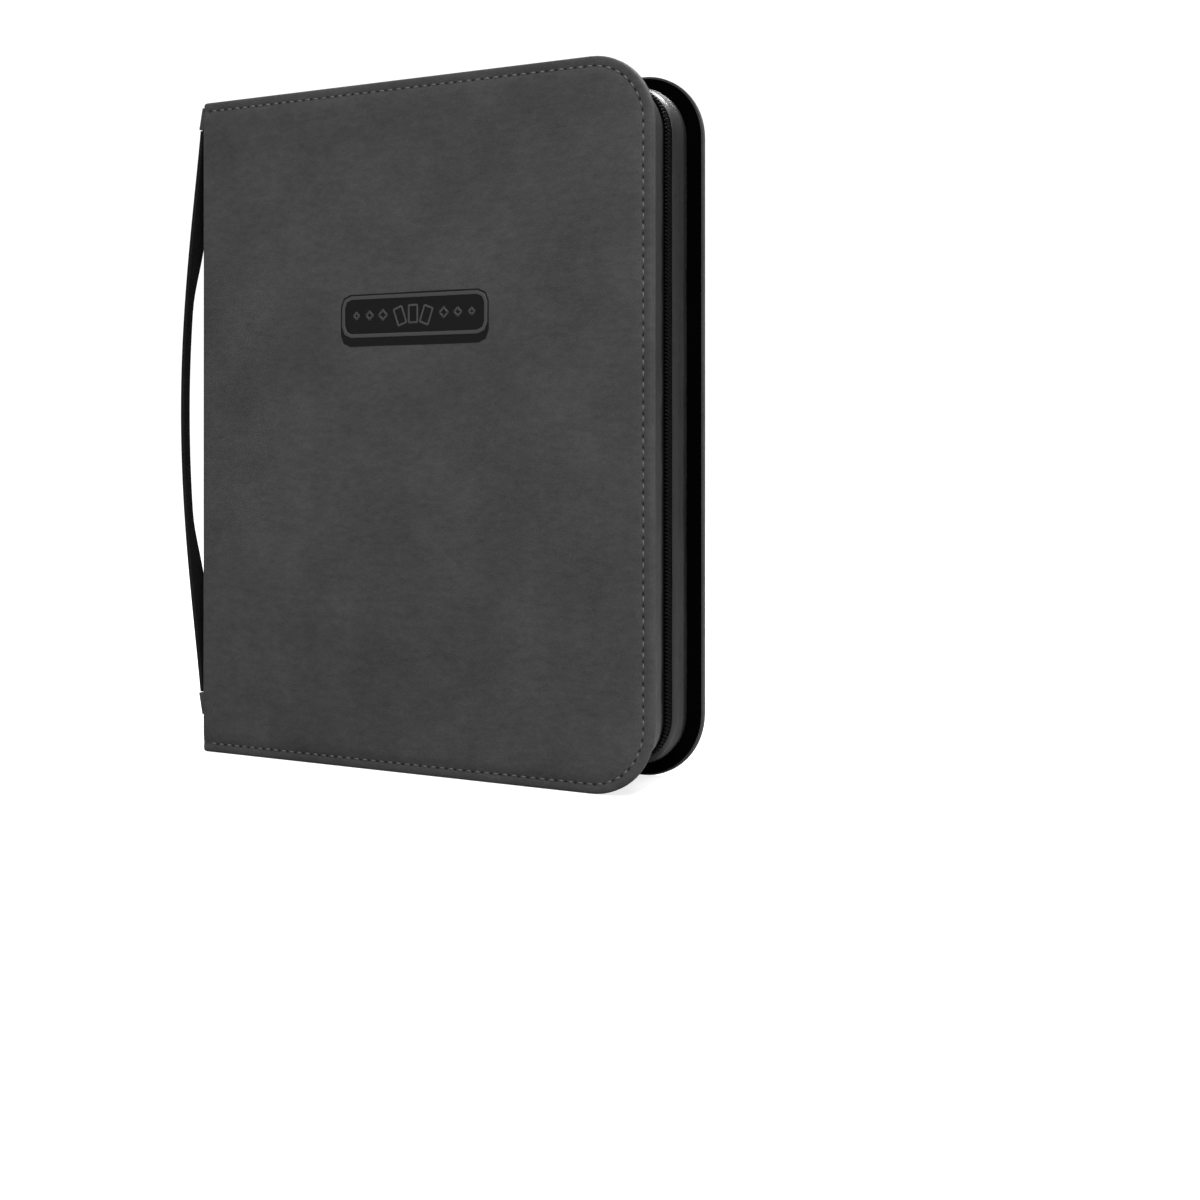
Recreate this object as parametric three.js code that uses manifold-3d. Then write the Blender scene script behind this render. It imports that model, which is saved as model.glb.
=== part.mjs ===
// Zip-around trading card binder with a three-ring mechanism, leaves and a carry strap.
// Millimetres, +Z up. It stands on its lower edges, closed: spine at -X, fore edge at +X,
// front cover facing -Y. Pieces are placed from the spine's lower front corner, with x
// running to the fore edge, y into the thickness and z up, and one group centres them.
import * as THREE from "three";
import { mergeVertices } from "three/addons/utils/BufferGeometryUtils.js";
import Module from "manifold-3d";

const wasm = await Module();
wasm.setup();

// ---- driving dimensions ----
const HEIGHT = 360; // covers, along the spine
const WIDTH = 280; // covers, spine to fore edge
const THICKNESS = 62; // over both closed covers
const COVER = 5; // one cover or the spine: skin, padding, board and lining
const CORNER = 34; // outer corner radius of the covers
const SKIN = 1;
const LAYER_GAP = 0.1;
const MITRE_GAP = 0.3;
const PADDING_Y = SKIN + LAYER_GAP; // where each layer starts, from the outer face
const BOARD_Y = 2.2;
const LINING_Y = 4.3;
const POCKET_START = COVER + 1; // hollow of a skin, clear of its mitred edge

const BADGE_X = 142;
const BADGE_Z = 235.5;
const BADGE_LENGTH = 93;
const BADGE_HEIGHT = 28;
const BADGE_CORNER = 7;
const BADGE_WALL = 0.6;
const BADGE_RECESS = 0.7; // depth of its bed in the front skin

const INSET = 9; // gusset behind the covers' edges
const GUSSET_WALL = 1.2;
const GUSSET_START = 6.5; // distance of the gusset's ends from the spine face
const TAPE_WALL = 0.6;
const TAPE_OVERLAP = 2; // tape sewn behind the gusset's edge
const ZIP_Y = 35.5; // middle of the zip
const FRONT_GUSSET_EDGE = 29.5;
const BACK_GUSSET_EDGE = 41.5;
const TEETH_REACH = 3; // from the zip's middle to the back of one row of teeth
const TEETH_GAP = 0.6; // from the zip's middle to the tips of one row
const TEETH_WALL = 1.85;
const TEETH_START = 13; // first teeth, from the spine face

const RING_RADIUS = 17.5;
const RING_WIRE = 1.5;
const RING_X = 28.5; // ring centre, from the spine's outer face
const RING_SPACING = 108;
const RING_FOOT_ANGLE = THREE.MathUtils.degToRad(24);
const PLATE_WIDTH = 28;
const PLATE_HALF_LENGTH = 136;
const PLATE_CROWN = 11.5;
const PLATE_WALL = 0.8;
const BLADE_HALF_LENGTH = 122;
const BLADE_PIVOT_X = 6.4;
const BLADE_PIVOT_Y = 12.2; // from the mechanism's middle
const BLADE_TILT = THREE.MathUtils.degToRad(3);
const RIVET_OFFSET = 54;
const RIVET_SHANK = 2.4;
const BOOSTER_PIVOT_X = 7.6;
const BOOSTER_PIVOT_OFFSET = 143;

const LEAVES = 13;
const LEAF_FIRST = 1.8; // first leaf, behind the ring's middle plane
const LEAF_PITCH = 0.9;
const LEAF_WALL = 0.5;
const LEAF_WIDTH = 222;
const LEAF_HEIGHT = 300;
const LEAF_MARGIN = 8; // punched hole to binding edge
const LEAF_HOLE = 4;

const STRAP_WIDTH = 5.6;
const STRAP_WALL = 2.4;
const STRAP_Y = 5.5; // strap's middle, from the front face
const STRAP_MID_Z = 189;
const STRAP_HALF_CHORD = 156;
const STRAP_FOOT = 2.7; // strap's centreline off the spine at its ends
const STRAP_BOW = 14.4; // further reach at mid length
const STRAP_FLATTENING = 0.35; // how much straighter the strap runs towards its ends

const TAB_LENGTH = 12; // tabs that hold the strap's ends
const TAB_WALL = 3.8;

const SLIDER_X = 26;
const SLIDER_LENGTH = 12;
const SLIDER_WIDTH = 10;
const PULL_RISE = 4.2; // pull's middle above the gusset

const MID_Z = HEIGHT / 2;
const MID_Y = THICKNESS / 2;
const ZIP_TOP = HEIGHT - INSET; // outer face of the gusset's upper wall
const PULL_Z = ZIP_TOP + PULL_RISE;
const STRAP_REACH = STRAP_FOOT + STRAP_BOW + STRAP_WALL / 2;

// ---- materials ----
const paint = (color, roughness, metalness = 0) =>
  new THREE.MeshStandardMaterial({ color, roughness, metalness });
const leather = paint(0x3b3b3c, 0.6);
const foam = paint(0x2c2c2e, 0.95);
const greyboard = paint(0x8f8a80, 0.9);
const liningCloth = paint(0x1d1d1f, 0.85);
const gussetLeather = paint(0x2b2b2d, 0.5);
const tapeCloth = paint(0x17171a, 0.8);
const nylon = paint(0x101012, 0.45);
const badgeRubber = paint(0x202022, 0.55);
const nickel = paint(0xb9bcc0, 0.25, 1);
const leafFilm = paint(0x1a1a1c, 0.3);

// ---- solids ----
const centred = new THREE.Group();
centred.position.set(-(WIDTH - STRAP_REACH) / 2, -MID_Y, 0);

function place(name, geometry, material) {
  const mesh = new THREE.Mesh(geometry, material);
  mesh.name = name;
  centred.add(mesh);
  return mesh;
}

function solid(geometry) {
  const bare = geometry.clone();
  bare.deleteAttribute("normal");
  bare.deleteAttribute("uv");
  const merged = mergeVertices(bare, 1e-4);
  return new wasm.Manifold(
    new wasm.Mesh({
      numProp: 3,
      vertProperties: merged.attributes.position.array,
      triVerts: new Uint32Array(merged.index.array),
    }),
  );
}

function geometryOf(manifold) {
  const mesh = manifold.getMesh();
  return new THREE.BufferGeometry()
    .setAttribute("position", new THREE.BufferAttribute(mesh.vertProperties, 3))
    .setIndex(new THREE.BufferAttribute(mesh.triVerts, 1));
}

const cut = (body, ...tools) =>
  geometryOf(tools.reduce((rest, tool) => rest.subtract(solid(tool)), solid(body)));
const join = (...bodies) =>
  geometryOf(bodies.map(solid).reduce((sum, body) => sum.add(body)));

function box(x0, x1, y0, y1, z0, z1) {
  return new THREE.BoxGeometry(x1 - x0, y1 - y0, z1 - z0).translate(
    (x0 + x1) / 2,
    (y0 + y1) / 2,
    (z0 + z1) / 2,
  );
}

function rod(axis, radius, length, x, y, z, sides = 16) {
  const geometry = new THREE.CylinderGeometry(radius, radius, length, sides);
  if (axis === "x") geometry.rotateZ(Math.PI / 2);
  if (axis === "z") geometry.rotateX(Math.PI / 2);
  return geometry.translate(x, y, z);
}

// A flat shape drawn in x and z, given its thickness along y.
function plate(shape, y, thickness, curveSegments = 10) {
  const options = { depth: thickness, bevelEnabled: false, curveSegments };
  return new THREE.ExtrudeGeometry(shape, options)
    .rotateX(Math.PI / 2)
    .translate(0, y + thickness, 0);
}

// A flat shape drawn in x and y, given its height along z.
const column = (shape, z, height) =>
  new THREE.ExtrudeGeometry(shape, { depth: height, bevelEnabled: false }).translate(0, 0, z);

const polygon = (points) => new THREE.Shape(points.map(([a, b]) => new THREE.Vector2(a, b)));

// ---- covers and spine ----
// A cover's outline, drawn in by an inset, with square corners at the spine.
function coverOutline(inset, start) {
  const radius = CORNER - inset;
  const right = WIDTH - inset;
  const top = HEIGHT - inset;
  return new THREE.Shape()
    .moveTo(start, inset)
    .lineTo(right - radius, inset)
    .absarc(right - radius, inset + radius, radius, -Math.PI / 2, 0, false)
    .lineTo(right, top - radius)
    .absarc(right - radius, top - radius, radius, 0, Math.PI / 2, false)
    .lineTo(start, top)
    .closePath();
}

function badgeOutline(grow) {
  const [dx, dz, radius] = [BADGE_LENGTH / 2 + grow, BADGE_HEIGHT / 2 + grow, BADGE_CORNER + grow];
  const [left, right] = [BADGE_X - dx + radius, BADGE_X + dx - radius];
  const [low, high] = [BADGE_Z - dz + radius, BADGE_Z + dz - radius];
  return new THREE.Shape()
    .moveTo(left, low - radius)
    .lineTo(right, low - radius)
    .absarc(right, low, radius, -Math.PI / 2, 0, false)
    .absarc(right, high, radius, 0, Math.PI / 2, false)
    .absarc(left, high, radius, Math.PI / 2, Math.PI, false)
    .absarc(left, low, radius, Math.PI, 1.5 * Math.PI, false);
}

// The outer skin of one cover: a tray whose rim turns round the board, mitred at the hinge.
function coverSkin(...recesses) {
  const hinge = column(
    polygon([
      [MITRE_GAP - 6, -6],
      [MITRE_GAP + 8, 8],
      [-6, 8],
    ]),
    -1,
    HEIGHT + 2,
  );
  const hollow = plate(coverOutline(SKIN, POCKET_START), SKIN, COVER);
  return cut(plate(coverOutline(0, 0), 0, COVER), hollow, hinge, ...recesses);
}

const inside = SKIN + LAYER_GAP;
const coverLayer = (y, thickness) =>
  plate(coverOutline(inside, POCKET_START + LAYER_GAP), y, thickness);
const toBack = (geometry) => {
  const turned = geometry.index ? geometry.toNonIndexed() : geometry.clone();
  const position = turned.getAttribute("position");
  // a mirror in y swaps two corners of each triangle to keep faces outward
  for (let i = 0; i < position.count; i += 3) {
    const corners = [0, 1, 2].map((k) =>
      new THREE.Vector3().fromBufferAttribute(position, i + k),
    );
    [0, 2, 1].forEach((from, k) =>
      position.setXYZ(i + k, corners[from].x, THICKNESS - corners[from].y, corners[from].z),
    );
  }
  turned.deleteAttribute("normal");
  return turned;
};

function addCovers() {
  const badgeHollow = plate(badgeOutline(0.3), -1, 1 + BADGE_RECESS);
  place("front_skin", coverSkin(badgeHollow), leather);
  place("front_badge", plate(badgeOutline(0), 0.05, BADGE_WALL), badgeRubber);
  place("back_skin", toBack(coverSkin()), leather);
  for (const [side, turn] of [["front", (g) => g], ["back", toBack]]) {
    place(side + "_padding", turn(coverLayer(PADDING_Y, 1)), foam);
    place(side + "_board", turn(coverLayer(BOARD_Y, 2)), greyboard);
    place(side + "_lining", turn(coverLayer(LINING_Y, COVER - LINING_Y)), liningCloth);
  }
}

function addSpine() {
  const wedge = (y) =>
    polygon([
      [-6, y(-6 + MITRE_GAP)],
      [8, y(8 + MITRE_GAP)],
      [8, y(-6)],
    ]);
  const edges = [(d) => d, (d) => THICKNESS - d].map((y) => column(wedge(y), -1, HEIGHT + 2));
  const low = COVER + 1;
  const hollow = box(SKIN, COVER + 1, low, THICKNESS - low, SKIN, HEIGHT - SKIN);
  const body = box(0, COVER, 0, THICKNESS, 0, HEIGHT);
  place("spine_skin", cut(body, hollow, ...edges), leather);
  const sheet = (x0, x1) =>
    box(x0, x1, low + LAYER_GAP, THICKNESS - low - LAYER_GAP, inside, HEIGHT - inside);
  const bores = [-RIVET_OFFSET, RIVET_OFFSET].map((z) =>
    rod("x", RIVET_SHANK + 0.4, 20, 0, MID_Y, MID_Z + z),
  );
  const seats = [-RIVET_OFFSET, RIVET_OFFSET].map((z) =>
    rod("x", 4.4, 2.6, 1.2, MID_Y, MID_Z + z),
  );
  place("spine_board", cut(sheet(1.2, 3.9), ...bores, ...seats), greyboard);
  place("spine_lining", cut(sheet(4.1, COVER), ...bores), liningCloth);
}

// ---- gusset and zip ----
// A wall that runs round three sides behind the covers' edges.
function wallRound(depth, thickness, start, y0, y1) {
  const outer = INSET + depth;
  const radius = CORNER - outer;
  const right = WIDTH - outer - radius;
  const [low, high] = [outer + radius, HEIGHT - outer - radius];
  const shape = new THREE.Shape()
    .moveTo(start, outer)
    .lineTo(right, outer)
    .absarc(right, low, radius, -Math.PI / 2, 0, false)
    .absarc(right, high, radius, 0, Math.PI / 2, false)
    .lineTo(start, HEIGHT - outer)
    .lineTo(start, HEIGHT - outer - thickness)
    .absarc(right, high, radius - thickness, Math.PI / 2, 0, true)
    .absarc(right, low, radius - thickness, 0, -Math.PI / 2, true)
    .lineTo(start, outer + thickness)
    .closePath();
  return plate(shape, y0, y1 - y0, 9);
}

function addGussetsAndZip() {
  const seam = COVER + 0.2;
  const tapeDepth = GUSSET_WALL + LAYER_GAP;
  const teethDepth = tapeDepth - LAYER_GAP - TEETH_WALL;
  const gusset = (y0, y1) => wallRound(0, GUSSET_WALL, GUSSET_START, y0, y1);
  const tape = (y0, y1) => wallRound(tapeDepth, TAPE_WALL, GUSSET_START, y0, y1);
  const teeth = (y0, y1) => wallRound(teethDepth, TEETH_WALL, TEETH_START, y0, y1);
  place("front_gusset", gusset(seam, FRONT_GUSSET_EDGE), gussetLeather);
  place("back_gusset", gusset(BACK_GUSSET_EDGE, THICKNESS - seam), gussetLeather);
  place("front_zip_tape", tape(FRONT_GUSSET_EDGE - TAPE_OVERLAP, ZIP_Y - 1.4), tapeCloth);
  place("back_zip_tape", tape(ZIP_Y + 1.4, BACK_GUSSET_EDGE + TAPE_OVERLAP), tapeCloth);
  place("front_zip_teeth", teeth(ZIP_Y - TEETH_REACH, ZIP_Y - TEETH_GAP), nylon);
  place("back_zip_teeth", teeth(ZIP_Y + TEETH_GAP, ZIP_Y + TEETH_REACH), nylon);
}

// The slider straddles the zip on the upper edge, with its pull lying along the closed teeth.
function addSlider() {
  const [x0, x1] = [SLIDER_X - SLIDER_LENGTH / 2, SLIDER_X + SLIDER_LENGTH / 2];
  const [y0, y1] = [ZIP_Y - SLIDER_WIDTH / 2, ZIP_Y + SLIDER_WIDTH / 2];
  const lower = box(x0, x1, y0, y1, ZIP_TOP - 4.4, ZIP_TOP - 2.4);
  const upper = box(x0, x1, y0, y1, ZIP_TOP + 1, ZIP_TOP + 2.6);
  const post = box(x0, x0 + 4, ZIP_Y - 0.3, ZIP_Y + 0.3, ZIP_TOP - 3, ZIP_TOP + 2);
  const bridge = cut(
    box(SLIDER_X - 2.6, SLIDER_X + 3.6, ZIP_Y - 1.2, ZIP_Y + 1.2, ZIP_TOP + 2, ZIP_TOP + 6.4),
    box(SLIDER_X - 1.6, SLIDER_X + 2.6, ZIP_Y - 2, ZIP_Y + 2, ZIP_TOP + 1, ZIP_TOP + 5.4),
  );
  place("zip_slider", join(lower, upper, post, bridge), nickel);

  const pullX = SLIDER_X + 0.5;
  const bar = rod("y", 0.7, 7.4, pullX, ZIP_Y, PULL_Z, 12);
  const arm = (y) => box(pullX - 0.8, pullX + 7, y - 0.6, y + 0.6, PULL_Z - 0.8, PULL_Z + 0.8);
  const tab = cut(
    box(pullX + 6, pullX + 31, ZIP_Y - 3.7, ZIP_Y + 3.7, PULL_Z - 0.7, PULL_Z + 0.7),
    rod("z", 1.8, 6, pullX + 26.5, ZIP_Y, PULL_Z),
  );
  place("zip_pull", join(bar, arm(ZIP_Y - 3.1), arm(ZIP_Y + 3.1), tab), nickel);
}

// ---- ring mechanism ----
// The arched steel plate over the blades, with ring slots, rivet holes and end ears.
function addCoverPlate() {
  const half = PLATE_WIDTH / 2;
  const foot = COVER + LAYER_GAP;
  const shoulder = foot + 1.5;
  const rise = PLATE_CROWN - shoulder;
  const radius = (half * half + rise * rise) / (2 * rise);
  const spread = Math.asin(half / radius);
  const centre = PLATE_CROWN - radius;
  const arch = (r, edge) => {
    const angle = r === radius ? spread : Math.acos((shoulder - centre) / r);
    return new THREE.Path().absarc(centre, MID_Y, r, edge * angle, -edge * angle, edge > 0);
  };
  const outside = arch(radius, -1).getPoints(14);
  const underside = arch(radius - PLATE_WALL, 1).getPoints(14);
  const section = new THREE.Shape([
    new THREE.Vector2(foot, MID_Y - half),
    ...outside,
    new THREE.Vector2(foot, MID_Y + half),
    new THREE.Vector2(foot, MID_Y + half - PLATE_WALL),
    ...underside,
    new THREE.Vector2(foot, MID_Y - half + PLATE_WALL),
  ]);
  const shell = column(section, MID_Z - PLATE_HALF_LENGTH, 2 * PLATE_HALF_LENGTH);
  const slots = [];
  for (const ring of [-1, 0, 1])
    for (const side of [-1, 1]) {
      const z = MID_Z + ring * RING_SPACING;
      const y = MID_Y + side * 7;
      slots.push(box(8, 14, y - 3.6, y + 3.6, z - 2.3, z + 2.3));
    }
  const holes = [-1, 1].map((s) =>
    rod("x", RIVET_SHANK + 0.3, 12, PLATE_CROWN, MID_Y, MID_Z + s * RIVET_OFFSET),
  );
  const end = PLATE_HALF_LENGTH - 4;
  const ear = (s, side) => {
    const z = [MID_Z + s * end, MID_Z + s * (BOOSTER_PIVOT_OFFSET + 3)].sort((a, b) => a - b);
    const y = MID_Y + side * 8.6;
    return box(foot, BOOSTER_PIVOT_X + 2.2, y - 0.6, y + 0.6, z[0], z[1]);
  };
  const ears = [-1, 1].flatMap((s) => [ear(s, -1), ear(s, 1)]);
  const pinHoles = [-1, 1].map((s) =>
    rod("y", 1.25, 30, BOOSTER_PIVOT_X, MID_Y, MID_Z + s * BOOSTER_PIVOT_OFFSET, 14),
  );
  const tied = join(shell, ...ears);
  place("ring_cover_plate", cut(tied, ...slots, ...holes, ...pinHoles), nickel);
}

function addRivets() {
  for (const [name, s] of [["rivet_top", 1], ["rivet_bottom", -1]]) {
    const outline = [
      [0, 1.25],
      [4, 1.25],
      [4, 1.9],
      [RIVET_SHANK, 2.3],
      [RIVET_SHANK, PLATE_CROWN + 0.15],
      [4.2, PLATE_CROWN + 0.15],
      [3.4, PLATE_CROWN + 1],
      [1.8, PLATE_CROWN + 1.4],
      [0, PLATE_CROWN + 1.5],
    ].map(([r, h]) => new THREE.Vector2(r, h));
    const rivet = new THREE.LatheGeometry(outline, 18)
      .rotateZ(-Math.PI / 2)
      .translate(0, MID_Y, MID_Z + s * RIVET_OFFSET);
    place(name, rivet, nickel);
  }
}

// One hinged blade and its three ring halves; side is -1 at the front and 1 at the back.
class RingHalf extends THREE.Curve {
  constructor(side, z) {
    super();
    this.side = side;
    this.z = z;
  }
  getPoint(t) {
    const shank = 0.12;
    const foot = [BLADE_PIVOT_X + 0.8, 6.6];
    const start = [
      RING_X - RING_RADIUS * Math.cos(RING_FOOT_ANGLE),
      RING_RADIUS * Math.sin(RING_FOOT_ANGLE),
    ];
    const tip = Math.PI - 0.008;
    if (t < shank) {
      const x = THREE.MathUtils.lerp(foot[0], start[0], t / shank);
      const y = THREE.MathUtils.lerp(foot[1], start[1], t / shank);
      return new THREE.Vector3(x, MID_Y + this.side * y, this.z);
    }
    const angle = THREE.MathUtils.lerp(RING_FOOT_ANGLE, tip, (t - shank) / (1 - shank));
    return new THREE.Vector3(
      RING_X - RING_RADIUS * Math.cos(angle),
      MID_Y + this.side * RING_RADIUS * Math.sin(angle),
      this.z,
    );
  }
}

function addRings() {
  const wire = new THREE.Shape().absarc(0, 0, RING_WIRE, 0, 2 * Math.PI, false);
  for (const [label, side] of [["front", -1], ["back", 1]]) {
    const blade = cut(
      box(-0.4, 0.4, -11.8, 0, -BLADE_HALF_LENGTH, BLADE_HALF_LENGTH),
      ...[-1, 1].map((s) => rod("x", 3.6, 4, 0, -BLADE_PIVOT_Y, s * RIVET_OFFSET, 14)),
    );
    const mesh = place("blade_" + label, blade, nickel);
    mesh.position.set(BLADE_PIVOT_X, MID_Y + side * BLADE_PIVOT_Y, MID_Z);
    mesh.rotation.z = side > 0 ? -BLADE_TILT : Math.PI + BLADE_TILT;
    for (const [level, k] of [["top", 1], ["middle", 0], ["bottom", -1]]) {
      const path = new RingHalf(side, MID_Z + k * RING_SPACING);
      const options = { steps: 24, extrudePath: path, curveSegments: 5 };
      place(`ring_${label}_${level}`, new THREE.ExtrudeGeometry(wire, options), nickel);
    }
  }
}

// Levers at both ends that open the rings, each on its pin.
function addBoosters() {
  for (const [level, s] of [["top", 1], ["bottom", -1]]) {
    const z = (offset) => BOOSTER_PIVOT_OFFSET + offset;
    const side = [
      [5.5, z(-8)],
      [6.5, z(-8)],
      [7.2, z(-3)],
      [10.2, z(0)],
      [14.2, z(11)],
      [12.8, z(11.6)],
      [8.4, z(3)],
      [5.8, z(2.2)],
    ].map(([x, d]) => [x, s * d]);
    const lever = new THREE.ExtrudeGeometry(polygon(side), { depth: 14, bevelEnabled: false })
      .rotateX(Math.PI / 2)
      .translate(0, MID_Y + 7, MID_Z);
    const pivotZ = MID_Z + s * BOOSTER_PIVOT_OFFSET;
    const bore = rod("y", 1.3, 30, BOOSTER_PIVOT_X, MID_Y, pivotZ, 14);
    place("booster_" + level, cut(lever, bore), nickel);
    place("booster_pin_" + level, rod("y", 1, 19, BOOSTER_PIVOT_X, MID_Y, pivotZ, 14), nickel);
  }
}

// ---- leaves ----
// Each leaf is punched where the ring crosses its own plane, so the stack's edge is curved.
function addLeaves() {
  for (let i = 0; i < LEAVES; i++) {
    const behind = LEAF_FIRST + i * LEAF_PITCH;
    const holeX = RING_X + Math.sqrt(RING_RADIUS ** 2 - behind ** 2);
    const left = holeX - LEAF_MARGIN;
    const low = MID_Z - LEAF_HEIGHT / 2;
    const sheet = polygon([
      [left, low],
      [left + LEAF_WIDTH, low],
      [left + LEAF_WIDTH, low + LEAF_HEIGHT],
      [left, low + LEAF_HEIGHT],
    ]);
    for (const k of [-1, 0, 1]) {
      const z = MID_Z + k * RING_SPACING;
      sheet.holes.push(new THREE.Path().absarc(holeX, z, LEAF_HOLE, 0, 2 * Math.PI, true));
    }
    const name = "leaf_" + String(i + 1).padStart(2, "0");
    place(name, plate(sheet, MID_Y + behind - LEAF_WALL / 2, LEAF_WALL, 8), leafFilm);
  }
}

// ---- carry strap ----
// A narrow folded strap that bows off the spine, and the two tabs that hold its ends.
class StrapLine extends THREE.Curve {
  getPoint(t) {
    const along = 2 * t - 1;
    const bow = (1 - along ** 2) * (1 - STRAP_FLATTENING * along ** 2);
    const reach = STRAP_FOOT + STRAP_BOW * bow;
    return new THREE.Vector3(-reach, STRAP_Y, STRAP_MID_Z + along * STRAP_HALF_CHORD);
  }
}

function addStrap() {
  const [w, t, c] = [STRAP_WIDTH / 2, STRAP_WALL / 2, 0.6];
  const section = polygon([
    [-w, -t + c], [-w + c, -t], [w - c, -t], [w, -t + c],
    [w, t - c], [w - c, t], [-w + c, t], [-w, t - c],
  ]);
  const options = { steps: 36, extrudePath: new StrapLine() };
  place("carry_strap", new THREE.ExtrudeGeometry(section, options), leather);
  for (const [level, s] of [["top", 1], ["bottom", -1]]) {
    const z = STRAP_MID_Z + s * (STRAP_HALF_CHORD + 0.5 + TAB_LENGTH / 2);
    const [low, high] = [z - TAB_LENGTH / 2, z + TAB_LENGTH / 2];
    const tab = box(-TAB_WALL, -0.1, STRAP_Y - 4.2, STRAP_Y + 4.2, low, high);
    place("strap_tab_" + level, tab, leather);
  }
}

addCovers();
addSpine();
addGussetsAndZip();
addSlider();
addCoverPlate();
addRivets();
addRings();
addBoosters();
addLeaves();
addStrap();

const binder = new THREE.Group();
binder.add(centred);
export default binder;
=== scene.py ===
"""Looks of a zip-around trading card binder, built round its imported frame."""

import math
from itertools import pairwise

import bmesh
import bpy
from bpy.props import FloatProperty, FloatVectorProperty, IntProperty, PointerProperty
from mathutils import Matrix, Vector, noise


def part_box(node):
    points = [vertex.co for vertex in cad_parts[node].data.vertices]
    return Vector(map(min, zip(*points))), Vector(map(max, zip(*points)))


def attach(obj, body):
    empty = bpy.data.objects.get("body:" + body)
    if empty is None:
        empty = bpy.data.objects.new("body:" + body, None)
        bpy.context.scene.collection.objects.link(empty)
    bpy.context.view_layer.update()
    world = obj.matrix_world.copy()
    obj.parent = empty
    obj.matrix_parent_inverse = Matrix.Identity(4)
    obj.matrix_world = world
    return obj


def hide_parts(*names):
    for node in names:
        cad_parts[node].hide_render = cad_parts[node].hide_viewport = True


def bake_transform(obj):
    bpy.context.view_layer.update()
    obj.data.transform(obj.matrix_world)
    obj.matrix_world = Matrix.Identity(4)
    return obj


bl_info = {
    "name": "Card binder",
    "version": (1, 0, 0),
    "blender": (4, 5, 0),
    "location": "View3D > Sidebar > Binder",
    "description": "Makes the skins, stitches, zip, rings, leaves and strap of a card binder",
    "category": "Object",
}

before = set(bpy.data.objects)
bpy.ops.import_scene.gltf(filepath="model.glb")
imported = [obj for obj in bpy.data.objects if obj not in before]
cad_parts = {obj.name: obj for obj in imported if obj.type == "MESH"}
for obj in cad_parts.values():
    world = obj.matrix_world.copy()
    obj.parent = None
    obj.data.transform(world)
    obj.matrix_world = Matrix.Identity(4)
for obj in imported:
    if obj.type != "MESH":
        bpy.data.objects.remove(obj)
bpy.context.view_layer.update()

# Pieces are modelled in millimetres from the spine's lower front corner: x to the fore edge,
# y from the front face into the thickness, z up. PLACE carries them into the frame.
MM = 0.001
SPINE_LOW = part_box("spine_skin")[0]
FRONT_LOW, FRONT_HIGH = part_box("front_skin")
BACK_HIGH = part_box("back_skin")[1]
ORIGIN = Vector((SPINE_LOW.x, FRONT_LOW.y, 0.0))
PLACE = Matrix.Translation(ORIGIN) @ Matrix.Scale(MM, 4)


def local(point):
    """A point of the frame in the pieces' own millimetres."""
    return (point - ORIGIN) / MM


def local_box(node):
    low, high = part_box(node)
    return local(low), local(high)


WIDTH = local(FRONT_HIGH).x
DEPTH = local(BACK_HIGH).y
HEIGHT = local(FRONT_HIGH).z
MID_Y = DEPTH / 2
MID_Z = HEIGHT / 2
CORNER = 34.0  # outer corner radius of the covers
FOLD = 2.2  # outer radius of the folds along the spine
LINING_Y = local_box("front_lining")[0].y  # the lining's hidden face
SPINE_LINING_X = local_box("spine_lining")[0].x
GUSSET_LOW, GUSSET_HIGH = local_box("front_gusset")
BACK_GUSSET_LOW, BACK_GUSSET_HIGH = local_box("back_gusset")
GUSSET_INSET = WIDTH - GUSSET_HIGH.x
ZIP_Y = (local_box("front_zip_teeth")[1].y + local_box("back_zip_teeth")[0].y) / 2


# ---- sizes and colours ----
def length(name, description, default):
    return FloatProperty(
        name=name, description=description, default=default, min=0.0, unit="LENGTH", precision=4
    )


def colour(name, description, default):
    return FloatVectorProperty(
        name=name, description=description, default=default, size=3, min=0.0, max=1.0,
        subtype="COLOR",
    )


class BinderCoverSettings(bpy.types.PropertyGroup):
    leather: colour("Leather", "Colour of the covers and spine", (0.059, 0.059, 0.0588))
    strap: colour("Strap", "Colour of the carry strap", (0.008, 0.008, 0.008))
    # Near black, far darker than the leather: the linings' own black with the shade between the
    # covers painted into it.
    lining: colour("Lining", "Colour of the inner faces", (0.0012, 0.0012, 0.0012))
    thread: colour("Thread", "Colour of the running stitch", (0.1, 0.1, 0.1))
    stitch_inset: length("Stitch inset", "Stitch line to the cover's edge", 0.005)
    stitch_pitch: length("Stitch pitch", "From one stitch to the next", 0.0054)
    waviness: length("Waviness", "How far the padded faces swell and dip", 0.00022)


class BinderGussetSettings(bpy.types.PropertyGroup):
    leather: colour("Leather", "Colour of the soft gusset", (0.019, 0.019, 0.0188))
    tape: colour("Tape", "Colour of the zip's woven tape", (0.009, 0.009, 0.009))
    nylon: colour("Nylon", "Colour of the zip's coil", (0.004, 0.004, 0.004))
    bulge: length("Bulge", "How far the gusset swells between its seams", 0.0019)
    coil_pitch: length("Coil pitch", "From one turn of the coil to the next", 0.0019)


class BinderRingSettings(bpy.types.PropertyGroup):
    nickel: colour("Nickel", "Colour of the ring mechanism", (0.62, 0.61, 0.59))
    black_nickel: colour("Black nickel", "Colour of the slider and pull", (0.05, 0.05, 0.053))


class BinderLeafSettings(bpy.types.PropertyGroup):
    film: colour("Film", "Colour of the pocket leaves", (0.014, 0.014, 0.015))
    columns: IntProperty(name="Columns", description="Pockets across a leaf", default=3, min=1)
    rows: IntProperty(name="Rows", description="Pockets up a leaf", default=3, min=1)


class BinderStageSettings(bpy.types.PropertyGroup):
    floor: colour("Floor", "Colour of the floor", (0.4, 0.4, 0.4))
    lens: FloatProperty(
        name="Lens", description="Focal length", default=52.04, min=1.0, unit="CAMERA"
    )


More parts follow.
